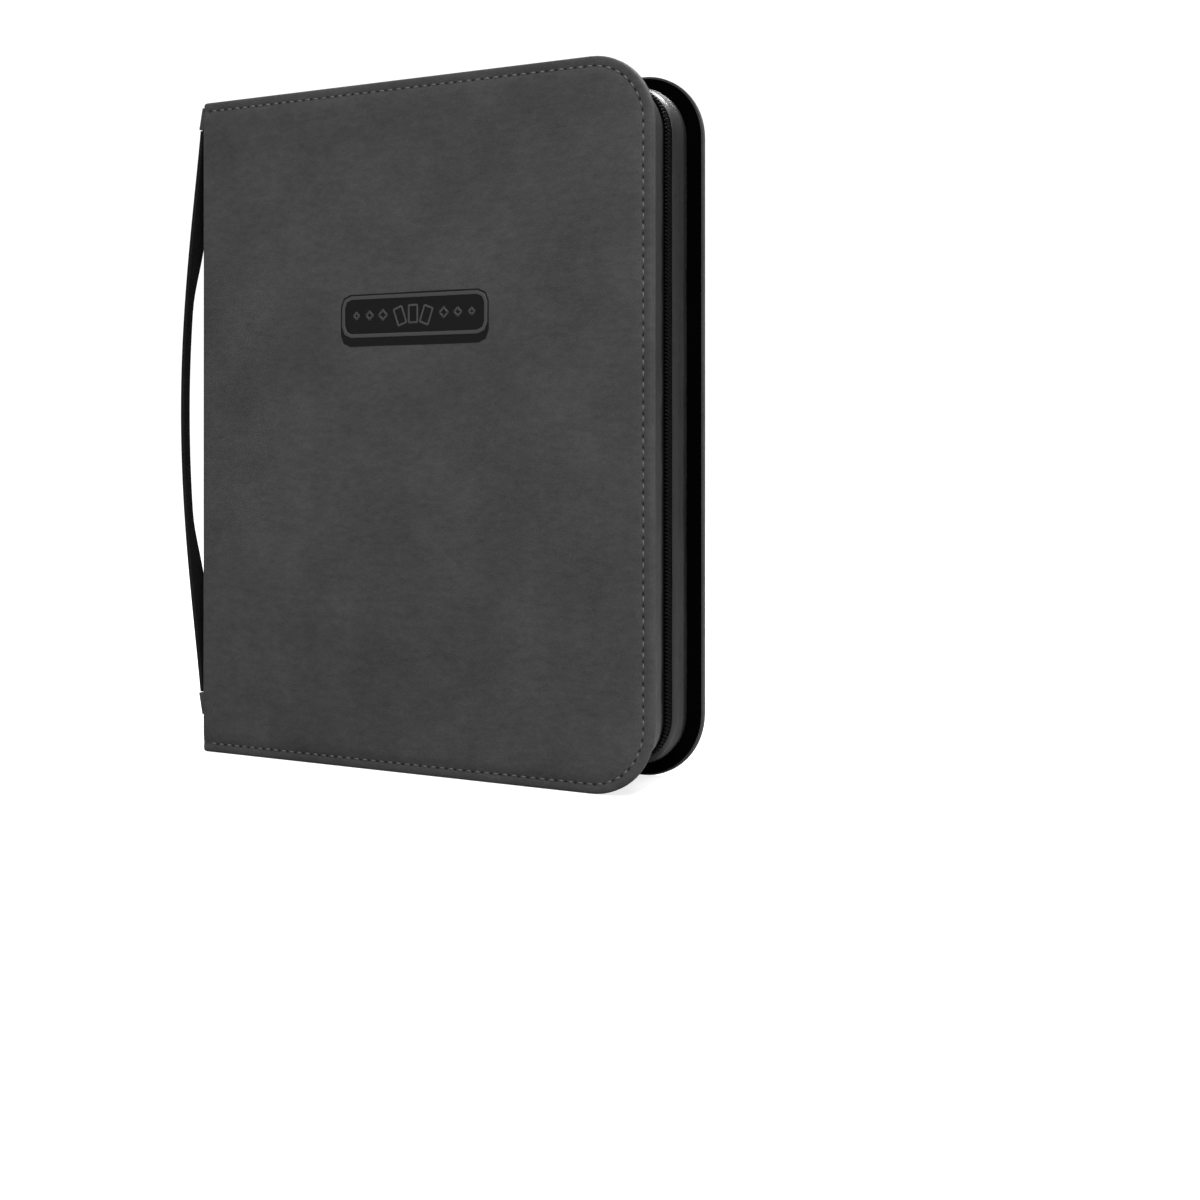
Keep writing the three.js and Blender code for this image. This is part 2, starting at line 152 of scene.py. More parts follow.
# ---- meshes ----
def whole(bm):
    return bm.verts[:] + bm.edges[:] + bm.faces[:]


def new_piece(name, bm, materials, smooth=32.0):
    """Closes a bmesh off as an object of the scene, in the frame's metres."""
    bmesh.ops.remove_doubles(bm, verts=bm.verts, dist=1e-4)
    bmesh.ops.recalc_face_normals(bm, faces=bm.faces)
    open_edges = sum(not edge.is_manifold for edge in bm.edges)
    if open_edges:
        raise RuntimeError(f"{name} has {open_edges} open edges")
    bmesh.ops.transform(bm, matrix=PLACE, verts=bm.verts)
    mesh = bpy.data.meshes.new(name)
    bm.to_mesh(mesh)
    bm.free()
    mesh.shade_smooth()
    mesh.set_sharp_from_angle(angle=math.radians(smooth))
    for material in materials:
        mesh.materials.append(material)
    piece = bpy.data.objects.new(name, mesh)
    bpy.context.scene.collection.objects.link(piece)
    return piece


def riding(name, bm, materials, body, replaced=(), smooth=32.0):
    piece = new_piece(name, bm, materials, smooth)
    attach(piece, body)
    if replaced:
        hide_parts(*replaced)
    return piece


def slab_between(bm, low, high):
    """A box given by two corners."""
    low, high = Vector(low), Vector(high)
    matrix = Matrix.Translation((low + high) / 2) @ Matrix.Diagonal((*(high - low), 1.0))
    return bmesh.ops.create_cube(bm, size=1.0, matrix=matrix)["verts"]


def pour(bm, other):
    """Adds another bmesh to this one and frees it."""
    holder = bpy.data.meshes.new("holder")
    other.to_mesh(holder)
    other.free()
    bm.from_mesh(holder)
    bpy.data.meshes.remove(holder)


def faces_of(verts):
    return list({face for vert in verts for face in vert.link_faces})


def edges_of(verts):
    return list({edge for vert in verts for edge in vert.link_edges})


def round_edges(bm, edges, radius, segments=3):
    bmesh.ops.bevel(
        bm, geom=edges, offset=radius, segments=segments, profile=0.5, affect="EDGES",
        material=-1,
    )


def rounded_rectangle(bm, low, high, y, radius, corners=(0, 1, 2, 3), segments=8):
    """A face in x and z that looks towards -y, with some of its corners rounded."""
    points = ((low[0], low[1]), (high[0], low[1]), (high[0], high[1]), (low[0], high[1]))
    verts = [bm.verts.new((x, y, z)) for x, z in points]
    face = bm.faces.new(verts)
    bmesh.ops.bevel(
        bm, geom=[verts[i] for i in corners], offset=radius, segments=segments, profile=0.5,
        affect="VERTICES", material=-1,
    )
    bm.faces.ensure_lookup_table()
    return bm.faces[-1]


def pull_out(bm, face, offset):
    """Extrudes a face by an offset and gives the moved face."""
    made = bmesh.ops.extrude_face_region(bm, geom=[face])["geom"]
    moved = [item for item in made if isinstance(item, bmesh.types.BMVert)]
    bmesh.ops.translate(bm, verts=moved, vec=offset)
    return next(item for item in made if isinstance(item, bmesh.types.BMFace))


def face_front(face):
    """Turns a face towards -y, so that insets rise that way."""
    if face.normal.y > 0:
        face.normal_flip()


def draw_in(bm, face, profile):
    """Rings inside a face's edge; the profile is (distance in, rise) from the edge on."""
    for (near, low), (far, high) in pairwise(profile):
        bmesh.ops.inset_region(
            bm, faces=[face], thickness=far - near, depth=high - low, use_even_offset=True,
            use_boundary=True,
        )


def trim(bm, point, normal):
    """Cuts off what lies beyond a plane and closes the cut."""
    bmesh.ops.bisect_plane(
        bm, geom=whole(bm), plane_co=point, plane_no=normal, clear_outer=True, dist=1e-5
    )
    close_ends(bm)


def slice_grid(bm, axis, places):
    """Cuts a mesh across at several places along one axis, leaving it whole."""
    normal = Vector((0.0, 0.0, 0.0))
    normal[axis] = 1.0
    for place in places:
        bmesh.ops.bisect_plane(
            bm, geom=whole(bm), plane_co=normal * place, plane_no=normal, dist=1e-5
        )


def steps_between(start, end, count):
    return [start + (end - start) * i / count for i in range(1, count)]


def mirror_to_back(bm):
    """Turns a front piece into the back one."""
    matrix = Matrix.Translation((0.0, DEPTH, 0.0)) @ Matrix.Diagonal((1.0, -1.0, 1.0, 1.0))
    bmesh.ops.transform(bm, matrix=matrix, verts=bm.verts)
    bmesh.ops.reverse_faces(bm, faces=bm.faces)


def round_path(inset, start, pitch):
    """Evenly spaced (x, z, heading) along the three open sides, inside the covers' edge."""
    radius = CORNER - inset
    run = WIDTH - CORNER - start
    quarter = math.pi / 2 * radius
    total = 2 * (run + quarter) + HEIGHT - 2 * CORNER
    count = round(total / pitch)
    for i in range(count):
        along = (i + 0.5) * total / count
        near = min(along, total - along)
        if near < run:
            x, z, heading = start + near, inset, 0.0
        elif near < run + quarter:
            heading = (near - run) / radius
            x = WIDTH - CORNER + radius * math.sin(heading)
            z = CORNER - radius * math.cos(heading)
        else:
            x, z, heading = WIDTH - inset, CORNER + near - run - quarter, math.pi / 2
        if along > near:
            z, heading = HEIGHT - z, math.pi - heading
        yield x, z, heading


def is_edge(item):
    return isinstance(item, bmesh.types.BMEdge)


def push_loop(bm, loop, offset):
    """Extrudes a loop of edges by an offset and gives the moved loop."""
    made = bmesh.ops.extrude_edge_only(bm, edges=loop)["geom"]
    moved = [item for item in made if isinstance(item, bmesh.types.BMVert)]
    bmesh.ops.translate(bm, verts=moved, vec=offset)
    return [item for item in made if is_edge(item) and all(v in moved for v in item.verts)]


def turn_loop(bm, loop, centre, axis, angle, steps):
    """Spins a loop of edges about an axis and gives the last loop."""
    verts = list({vert for edge in loop for vert in edge.verts})
    turned = bmesh.ops.spin(
        bm, geom=loop + verts, cent=centre, axis=axis, angle=angle, steps=steps,
        use_merge=False, use_duplicate=False,
    )
    return [item for item in turned["geom_last"] if is_edge(item)]


def close_ends(bm):
    rim = [edge for edge in bm.edges if edge.is_boundary]
    bmesh.ops.holes_fill(bm, edges=rim, sides=0)


def sweep_round(bm, section, inset, start, steps=26, turns=12):
    """Carries a closed (y, outward) section along the three open sides."""
    verts = [bm.verts.new((start, y, inset - out)) for y, out in section]
    loop = [bm.edges.new((verts[i - 1], verts[i])) for i in range(len(verts))]
    run = Vector((WIDTH - CORNER - start, 0.0, 0.0))
    rise = Vector((0.0, 0.0, HEIGHT - 2 * CORNER))
    for leg, offset in enumerate((run, rise, -run)):
        for _ in range(steps):
            loop = push_loop(bm, loop, offset / steps)
        if leg < 2:
            centre = (WIDTH - CORNER, 0.0, CORNER if leg == 0 else HEIGHT - CORNER)
            loop = turn_loop(bm, loop, centre, (0.0, -1.0, 0.0), math.pi / 2, turns)
    close_ends(bm)


# ---- shader groups ----
def add_node(tree, kind, inputs=None, **settings):
    made = tree.nodes.new(kind)
    for key, value in settings.items():
        setattr(made, key, value)
    for key, value in (inputs or {}).items():
        if isinstance(value, bpy.types.NodeSocket):
            tree.links.new(value, made.inputs[key])
        else:
            made.inputs[key].default_value = value
    return made


def calculate(tree, operation, first, second=0.0, clamp=False):
    made = add_node(
        tree, "ShaderNodeMath", {0: first, 1: second}, operation=operation, use_clamp=clamp
    )
    return made.outputs[0]


def rescale(tree, value, low, high):
    made = add_node(tree, "ShaderNodeMapRange", {"Value": value, "To Min": low, "To Max": high})
    return made.outputs[0]


def stretch(tree, value, low, high):
    """Rescales a noise, whose values keep to the middle of its range."""
    made = add_node(
        tree, "ShaderNodeMapRange",
        {"Value": value, "From Min": 0.32, "From Max": 0.68, "To Min": low, "To Max": high},
    )
    return made.outputs[0]


def new_group(name, sockets, outputs):
    group = bpy.data.node_groups.new(name, "ShaderNodeTree")
    for socket, default in sockets.items():
        kind = "NodeSocketVector" if default is None else "NodeSocketFloat"
        made = group.interface.new_socket(socket, in_out="INPUT", socket_type=kind)
        if default is not None:
            made.default_value = default
    for socket in outputs:
        group.interface.new_socket(socket, in_out="OUTPUT", socket_type="NodeSocketFloat")
    return group, group.nodes.new("NodeGroupInput"), group.nodes.new("NodeGroupOutput")


def leather_grain_group():
    """Small pebbled cells with finer pores between, painted shade down in the grooves between the
    cells, and a slow mottling of the tone.
    """
    if "Leather grain" in bpy.data.node_groups:
        return bpy.data.node_groups["Leather grain"]
    sockets = {"Vector": None, "Cells": 1100.0, "Mottling": 22.0}
    group, given, result = new_group("Leather grain", sockets, ("Height", "Tone", "Rub"))
    bend = add_node(
        group, "ShaderNodeTexNoise", {"Vector": given.outputs[0], "Scale": 420.0, "Detail": 2.0}
    )
    bent = add_node(
        group, "ShaderNodeVectorMath",
        {0: bend.outputs["Color"], 1: (0.0009, 0.0009, 0.0009), 2: given.outputs[0]},
        operation="MULTIPLY_ADD",
    )
    cells = add_node(
        group, "ShaderNodeTexVoronoi",
        {"Vector": bent.outputs[0], "Scale": given.outputs[1], "Randomness": 1.0},
        feature="DISTANCE_TO_EDGE",
    )
    domes = calculate(group, "POWER", calculate(group, "MULTIPLY", cells.outputs[0], 2.4), 0.5, True)
    pores = add_node(
        group, "ShaderNodeTexNoise", {"Vector": given.outputs[0], "Scale": 3600.0, "Detail": 3.0}
    )
    fine = calculate(group, "MULTIPLY", pores.outputs[0], 0.35)
    group.links.new(calculate(group, "ADD", domes, fine), result.inputs["Height"])
    slow = add_node(
        group, "ShaderNodeTexNoise",
        {"Vector": given.outputs[0], "Scale": given.outputs[2], "Detail": 5.0, "Roughness": 0.6},
    )
    drawn = add_node(
        group, "ShaderNodeVectorMath", {0: given.outputs[0], 1: (1.0, 1.0, 2.4)},
        operation="MULTIPLY",
    )
    patches = add_node(
        group, "ShaderNodeTexNoise",
        {"Vector": drawn.outputs[0], "Scale": 150.0, "Detail": 8.0, "Roughness": 0.78},
    )
    shade = stretch(group, slow.outputs[0], 0.86, 1.14)
    fuzz = stretch(group, patches.outputs[0], 0.84, 1.16)
    # Painted shade: the tone darkens towards the cell edges, down in the grooves between the pebbles.
    dark = rescale(group, domes, 0.74, 1.06)
    tone = calculate(group, "MULTIPLY", calculate(group, "MULTIPLY", shade, fuzz), dark)
    group.links.new(tone, result.inputs["Tone"])
    rub = add_node(
        group, "ShaderNodeTexNoise", {"Vector": given.outputs[0], "Scale": 70.0, "Detail": 6.0}
    )
    group.links.new(rub.outputs[0], result.inputs["Rub"])
    return group


def weave_group():
    """Crossed ribs of a plain woven tape, with painted light on the rib crossings and painted shade
    between the ribs.
    """
    if "Woven ribs" in bpy.data.node_groups:
        return bpy.data.node_groups["Woven ribs"]
    sockets = {"Vector": None, "Along": 1400.0, "Across": 900.0}
    group, given, result = new_group("Woven ribs", sockets, ("Height", "Tone"))
    waves = []
    for socket, direction in ((1, "Z"), (2, "Y")):
        wave = add_node(
            group, "ShaderNodeTexWave",
            {"Vector": given.outputs[0], "Scale": given.outputs[socket], "Distortion": 0.4},
            bands_direction=direction,
        )
        waves.append(wave.outputs["Fac"])
    both = calculate(group, "MULTIPLY", *waves)
    group.links.new(both, result.inputs["Height"])
    # Painted light and shade: the tone follows the ribs' height, lighter where they cross and darker
    # between them.
    group.links.new(rescale(group, both, 0.7, 1.25), result.inputs["Tone"])
    return group


def metal_group():
    """Faint handling marks on plated steel."""
    if "Plated marks" in bpy.data.node_groups:
        return bpy.data.node_groups["Plated marks"]
    sockets = {"Vector": None, "Scale": 240.0}
    group, given, result = new_group("Plated marks", sockets, ("Mask", "Height"))
    smudge = add_node(
        group, "ShaderNodeTexNoise",
        {"Vector": given.outputs[0], "Scale": given.outputs[1], "Detail": 8.0, "Roughness": 0.7},
    )
    group.links.new(smudge.outputs[0], result.inputs["Mask"])
    fine = add_node(
        group, "ShaderNodeTexNoise", {"Vector": given.outputs[0], "Scale": 2600.0, "Detail": 2.0}
    )
    group.links.new(fine.outputs[0], result.inputs["Height"])
    return group


# ---- materials ----
def made_before(name):
    return bpy.data.materials.get(f"{name}_look")


def new_material(name, **shader_values):
    """A material with its shader, and the object coordinates that its patterns read."""
    material = bpy.data.materials.new(f"{name}_look")
    material.use_nodes = True
    tree = material.node_tree
    shader = tree.nodes["Principled BSDF"]
    for key, value in shader_values.items():
        socket = key.replace("_", " ")
        shader.inputs[socket].default_value = value
    where = tree.nodes.new("ShaderNodeTexCoord").outputs["Object"]
    return material, tree, shader, where


def tinted(tree, base, tone):
    """A colour multiplied by a tone that changes over the surface."""
    made = add_node(
        tree, "ShaderNodeVectorMath", {0: tuple(base), 1: tone}, operation="MULTIPLY"
    )
    return made.outputs[0]


def bump(tree, shader, height, strength, distance):
    made = add_node(
        tree, "ShaderNodeBump", {"Height": height, "Strength": strength, "Distance": distance}
    )
    tree.links.new(made.outputs[0], shader.inputs["Normal"])


def leather_material(name, base, cells=1100.0, depth=0.00012, rough=(0.56, 0.7), level=0.13, ior=1.4):
    known = made_before(name)
    if known:
        return known
    material, tree, shader, where = new_material(name)
    shader.inputs["Specular IOR Level"].default_value = level
    shader.inputs["IOR"].default_value = ior
    grain = add_node(
        tree, "ShaderNodeGroup", node_tree=leather_grain_group()
    )
    tree.links.new(where, grain.inputs["Vector"])
    grain.inputs["Cells"].default_value = cells
    tree.links.new(tinted(tree, base, grain.outputs["Tone"]), shader.inputs["Base Color"])
    tree.links.new(
        rescale(tree, grain.outputs["Rub"], *rough), shader.inputs["Roughness"]
    )
    bump(tree, shader, grain.outputs["Height"], 0.55, depth)
    return material


def cover_leather():
    base = bpy.context.scene.binder_covers.leather
    return leather_material("cover_leather", base)


def gusset_leather():
    base = bpy.context.scene.binder_gussets.leather
    return leather_material("gusset_leather", base, 1500.0, 0.00008, (0.28, 0.42), 0.5, 1.42)


def strap_leather():
    base = bpy.context.scene.binder_covers.strap
    return leather_material("strap_leather", base, 1500.0, 0.00008, (0.45, 0.6), 0.2, 1.3)


# The inner faces' leather, its colour darkened to paint the shade inside the binder.
def lining_leather_painted_shade():
    base = bpy.context.scene.binder_covers.lining
    return leather_material("lining_leather_painted_shade", base, 1900.0, 0.00004, (0.24, 0.34), 0.1, 1.08)


def thread_material():
    known = made_before("stitch_thread")
    if known:
        return known
    material, tree, shader, where = new_material("stitch_thread", Roughness=0.75)
    twist = add_node(
        tree, "ShaderNodeTexNoise", {"Vector": where, "Scale": 2500.0, "Detail": 2.0}
    )
    tone = rescale(tree, twist.outputs[0], 0.6, 1.4)
    base = bpy.context.scene.binder_covers.thread
    tree.links.new(tinted(tree, base, tone), shader.inputs["Base Color"])
    bump(tree, shader, twist.outputs[0], 0.5, 0.0001)
    return material


# Near black and a little uneven: painted shade for the inside of a needle hole.
def hole_shade_material():
    known = made_before("hole_shade")
    if known:
        return known
    material, tree, shader, where = new_material("hole_shade")
    shade = add_node(tree, "ShaderNodeTexNoise", {"Vector": where, "Scale": 900.0})
    tone = rescale(tree, shade.outputs[0], 0.5, 1.5)
    # Painted shade: this near-black colour stands in for the shade down in the hole.
    tree.links.new(tinted(tree, (0.004, 0.004, 0.004), tone), shader.inputs["Base Color"])
    tree.links.new(rescale(tree, shade.outputs[0], 0.8, 1.0), shader.inputs["Roughness"])
    return material


def tape_material():
    known = made_before("zip_tape")
    if known:
        return known
    material, tree, shader, where = new_material("zip_tape", Roughness=0.85)
    shader.inputs["Specular IOR Level"].default_value = 0.1
    shader.inputs["IOR"].default_value = 1.15
    weave = add_node(tree, "ShaderNodeGroup", node_tree=weave_group())
    tree.links.new(where, weave.inputs["Vector"])
    base = bpy.context.scene.binder_gussets.tape
    tree.links.new(tinted(tree, base, weave.outputs["Tone"]), shader.inputs["Base Color"])
    bump(tree, shader, weave.outputs["Height"], 0.6, 0.0001)
    return material


def nylon_material():
    known = made_before("zip_nylon")
    if known:
        return known
    material, tree, shader, where = new_material("zip_nylon")
    shade = add_node(
        tree, "ShaderNodeTexNoise", {"Vector": where, "Scale": 800.0, "Detail": 3.0}
    )
    base = bpy.context.scene.binder_gussets.nylon
    tone = rescale(tree, shade.outputs[0], 0.6, 1.4)
    tree.links.new(tinted(tree, base, tone), shader.inputs["Base Color"])
    shader.inputs["Specular IOR Level"].default_value = 0.3
    shader.inputs["IOR"].default_value = 1.18
    tree.links.new(rescale(tree, shade.outputs[0], 0.3, 0.5), shader.inputs["Roughness"])
    return material


def plated_material(name, base, rough):
    known = made_before(name)
    if known:
        return known
    material, tree, shader, where = new_material(name, Metallic=1.0)
    marks = add_node(tree, "ShaderNodeGroup", node_tree=metal_group())
    tree.links.new(where, marks.inputs["Vector"])
    tone = rescale(tree, marks.outputs["Mask"], 0.88, 1.06)
    tree.links.new(tinted(tree, base, tone), shader.inputs["Base Color"])
    tree.links.new(rescale(tree, marks.outputs["Mask"], *rough), shader.inputs["Roughness"])
    bump(tree, shader, marks.outputs["Height"], 0.08, 0.00002)
    return material


def nickel_material():
    return plated_material("nickel_plate", bpy.context.scene.binder_rings.nickel, (0.08, 0.26))


def black_nickel_material():
    base = bpy.context.scene.binder_rings.black_nickel
    return plated_material("black_nickel", base, (0.22, 0.42))


def film_material(name, lift):
    """Glossy pocket film; lift brightens it where two layers are welded."""
    known = made_before(name)
    if known:
        return known
    material, tree, shader, where = new_material(name)
    shader.inputs["Coat Weight"].default_value = 0.6
    shader.inputs["Coat Roughness"].default_value = 0.12
    cloud = add_node(
        tree, "ShaderNodeTexNoise", {"Vector": where, "Scale": 30.0, "Detail": 5.0}
    )
    base = [lift * value for value in bpy.context.scene.binder_leaves.film]
    tone = rescale(tree, cloud.outputs[0], 0.75, 1.25)
    tree.links.new(tinted(tree, base, tone), shader.inputs["Base Color"])
    tree.links.new(rescale(tree, cloud.outputs[0], 0.16, 0.34), shader.inputs["Roughness"])
    fine = add_node(tree, "ShaderNodeTexNoise", {"Vector": where, "Scale": 160.0})
    bump(tree, shader, fine.outputs[0], 0.12, 0.0004)
    return material


def plaque_material(name, base, rough):
    known = made_before(name)
    if known:
        return known
    material, tree, shader, where = new_material(name)
    shader.inputs["Specular IOR Level"].default_value = 0.2
    grain = add_node(
        tree, "ShaderNodeTexNoise", {"Vector": where, "Scale": 1500.0, "Detail": 4.0}
    )
    tone = rescale(tree, grain.outputs[0], 0.75, 1.25)
    tree.links.new(tinted(tree, base, tone), shader.inputs["Base Color"])
    tree.links.new(rescale(tree, grain.outputs[0], *rough), shader.inputs["Roughness"])
    bump(tree, shader, grain.outputs[0], 0.25, 0.00008)
    return material


# ---- covers and spine ----
PADDED_PROFILE = (  # distance in from the edge, rise of the face
    (0.0, 0.0), (0.12, 0.55), (0.45, 1.0), (1.0, 1.3), (1.8, 1.45), (3.4, 1.45), (4.2, 1.25),
    (5.0, 1.08), (5.8, 1.3), (7.2, 1.75), (10.0, 2.05), (16.0, 2.2), (24.0, 2.25),
)
FACE_RISE = PADDED_PROFILE[-1][1]
GROOVE_RISE = 1.08
SPINE_ROUND = 2.0
PLATEAU = 14.0  # distance in from the edge where the face may swell and dip


def swell(bm, height, spare_low_x):
    """Makes a padded face swell and dip slowly, away from its stitched border."""
    for vert in bm.verts:
        if vert.co.y > FACE_RISE * 0.5:
            continue
        spare = min(
            vert.co.z, HEIGHT - vert.co.z, WIDTH - vert.co.x, vert.co.x - spare_low_x + PLATEAU
        )
        weight = min(1.0, max(0.0, (spare - 6.0) / PLATEAU))
        wave = noise.noise(Vector((vert.co.x / 55.0, 3.1, vert.co.z / 75.0)))
        vert.co.y += weight * height * (wave + 0.6)


def cover_bmesh():
    """The front cover's padded body, from its outer face to the lining, mitred at the spine."""
    bm = bmesh.new()
    beyond = -60.0
    inner = rounded_rectangle(
        bm, (beyond, 0.0), (WIDTH, HEIGHT), LINING_Y, CORNER, corners=(1, 2), segments=16
    )
    outer = pull_out(bm, inner, (0.0, FACE_RISE - LINING_Y, 0.0))
    face_front(outer)
    draw_in(bm, outer, PADDED_PROFILE)
    trim(bm, (FOLD, 0.0, 0.0), (-1.0, 0.0, 0.0))
    trim(bm, (FOLD + 0.2, FOLD, 0.0), (-1.0, 1.0, 0.0))
    slice_grid(bm, 0, steps_between(FOLD, WIDTH, 24))
    slice_grid(bm, 2, steps_between(0.0, HEIGHT, 30))
    height = bpy.context.scene.binder_covers.waviness / MM
    swell(bm, height, FOLD)
    return bm


class BINDER_OT_covers(bpy.types.Operator):
    """Makes the two padded covers and gives their linings their finish, a near black that also paints
    the shade between the covers
    """

    bl_idname = "binder.covers"
    bl_label = "Covers"

    def execute(self, context):
        for side in ("front", "back"):
            bm = cover_bmesh()
            if side == "back":
                mirror_to_back(bm)
            hidden = [f"{side}_{layer}" for layer in ("skin", "padding", "board")]
            piece = riding(
                f"{side}_cover_panel", bm, [cover_leather()],
                f"{side}_cover", hidden,
            )
            finish_node(f"{side}_lining", lining_leather_painted_shade())
        return {"FINISHED"}


def finish_node(node, material):
    """Gives a frame node that stays visible its material."""
    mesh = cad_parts[node].data
    mesh.materials.clear()
    mesh.materials.append(material)


def face_sink(distance):
    """How deep the padded face lies below its crown, at a distance in from the edge."""
    for (near, low), (far, high) in pairwise(PADDED_PROFILE):
        if distance <= far:
            return FACE_RISE - low - (high - low) * (distance - near) / (far - near)
    return 0.0


def corner_strip(centre, radius, thickness, low_z, high_z, padded):
    """A quarter-round strip from the spine's side of a corner to the front cover's."""
    bm = bmesh.new()
    x, y = centre
    corners = ((x - radius, low_z), (x - radius, high_z))
    inner = ((x - radius + thickness, high_z), (x - radius + thickness, low_z))
    verts = [bm.verts.new((px, y, pz)) for px, pz in corners + inner]
    face = bm.faces.new(verts)
    bmesh.ops.spin(
        bm, geom=[face, *face.edges, *face.verts], cent=(x, y, 0.0), axis=(0.0, 0.0, 1.0),
        angle=math.pi / 2, steps=10, use_merge=False, use_duplicate=False,
    )
    if not padded:
        return bm
    margins = [distance for distance, _ in PADDED_PROFILE if distance > low_z]
    slice_grid(bm, 2, margins + [HEIGHT - margin for margin in margins])
    for vert in bm.verts:
        out = Vector((vert.co.x - x, vert.co.y - y, 0.0))
        if out.length > radius - 0.1:
            distance = min(vert.co.z, HEIGHT - vert.co.z)
            share = math.atan2(-out.y, -out.x) / (math.pi / 2)
            corner = max(0.0, SPINE_ROUND - distance)
            spine_sink = SPINE_ROUND - math.sqrt(SPINE_ROUND**2 - corner**2)
            sink = face_sink(distance) * share + spine_sink * (1.0 - share)
            vert.co -= out.normalized() * sink
    return bm


def blend_over_corner(piece, side, centre, radius):
    """Bakes the placement of a strip between the spine and one cover into its mesh, without bending
    it.
    """
    x, y = centre
    start, end = (x - radius, y, MID_Z), (x, y - radius, MID_Z)
    if side == "back":
        start, end = [(px, DEPTH - py, pz) for px, py, pz in (start, end)]
    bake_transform(piece)


class BINDER_OT_spine(bpy.types.Operator):
    """Makes the spine's skin, the folds to both covers and the hinge cloth inside"""

    bl_idname = "binder.spine"
    bl_label = "Spine"

    def execute(self, context):
        bm = bmesh.new()
        slab_between(bm, (0.0, FOLD, 0.0), (SPINE_LINING_X, DEPTH - FOLD, HEIGHT))
        ends = [e for e in bm.edges if all(v.co.x < 0.01 for v in e.verts)
                and e.verts[0].co.z == e.verts[1].co.z]
        round_edges(bm, ends, SPINE_ROUND, 4)
        for y, lean in ((FOLD, -1.0), (DEPTH - FOLD, 1.0)):
            trim(bm, (FOLD, y + 0.2 * -lean, 0.0), (1.0, lean, 0.0))
        slice_grid(bm, 2, steps_between(0.0, HEIGHT, 30))
        riding(
            "spine_panel", bm, [cover_leather()], "spine",
            ("spine_skin", "spine_board"),
        )
        finish_node("spine_lining", lining_leather_painted_shade())
        inner = 3.0
        clear = local_box("spine_lining")[1].x + inner
        kinds = (
            ("fold", (FOLD, FOLD), FOLD, 1.5, 0.45, cover_leather(), "cover_leather"),
            ("hinge_cloth", (clear, clear), inner, 0.5, 1.6, lining_leather_painted_shade(), "lining"),
        )
        for kind, centre, radius, thickness, margin, material, slot in kinds:
            for side in ("front", "back"):
                bm = corner_strip(
                    centre, radius, thickness, margin, HEIGHT - margin, kind == "fold"
                )
                if side == "back":
                    mirror_to_back(bm)
                piece = new_piece(f"{side}_{kind}", bm, [material])
                blend_over_corner(piece, side, centre, radius)
        return {"FINISHED"}


# ---- stitches ----
THREAD_SHARE = 0.28  # half a stitch's length, as a share of the pitch
THREAD_RADII = (0.42, 0.52)
# Size of the near-black disc that paints the shade in each needle hole.
HOLE_SHADE_RADII = (1.1, 0.24, 0.95)


def bead(bm, matrix, sides=6, rings=4):
    return bmesh.ops.create_uvsphere(
        bm, u_segments=sides, v_segments=rings, radius=1.0, matrix=matrix
    )["verts"]


def stitch_rows(inset, start, pitch, y):
    """Stitches, and near-black discs between them that paint the shade in each needle hole, along the
    three open sides.
    """
    stitches, hole_shades = bmesh.new(), bmesh.new()
    half = pitch * THREAD_SHARE
    for x, z, heading in round_path(inset, start, pitch):
        turn = Matrix.Rotation(-heading, 4, "Y")
        lie = Matrix.Translation((x, y, z)) @ turn
        bead(stitches, lie @ Matrix.Diagonal((half, *THREAD_RADII, 1.0)))
        # A near-black disc of painted shade, in the needle hole half a pitch ahead.
        ahead = Matrix.Translation((pitch / 2, 0.0, 0.0)) @ Matrix.Diagonal((*HOLE_SHADE_RADII, 1.0))
        bead(hole_shades, lie @ ahead, 6, 3)
    return stitches, hole_shades


class BINDER_OT_stitches(bpy.types.Operator):
    """Makes the running stitch round both covers"""

    bl_idname = "binder.stitches"
    bl_label = "Stitches"

    def execute(self, context):
        settings = context.scene.binder_covers
        inset, pitch = settings.stitch_inset / MM, settings.stitch_pitch / MM
        depth = FACE_RISE - GROOVE_RISE
        for side in ("front", "back"):
            rows = stitch_rows(inset, FOLD + 3.0, pitch, depth)
            # The second finish paints the shade in the needle hole between stitches.
            finishes = (thread_material(), hole_shade_material())
            for kind, bm, material in zip(("stitches", "hole_shade_discs"), rows, finishes):
                if side == "back":
                    mirror_to_back(bm)
                riding(
                    f"{side}_{kind}", bm, [material], f"{side}_cover",
                    smooth=80.0,
                )
        return {"FINISHED"}


# ---- badge ----
BADGE_BAND = 4.8  # plain band under the raised frame
BADGE_RIM = 2.2


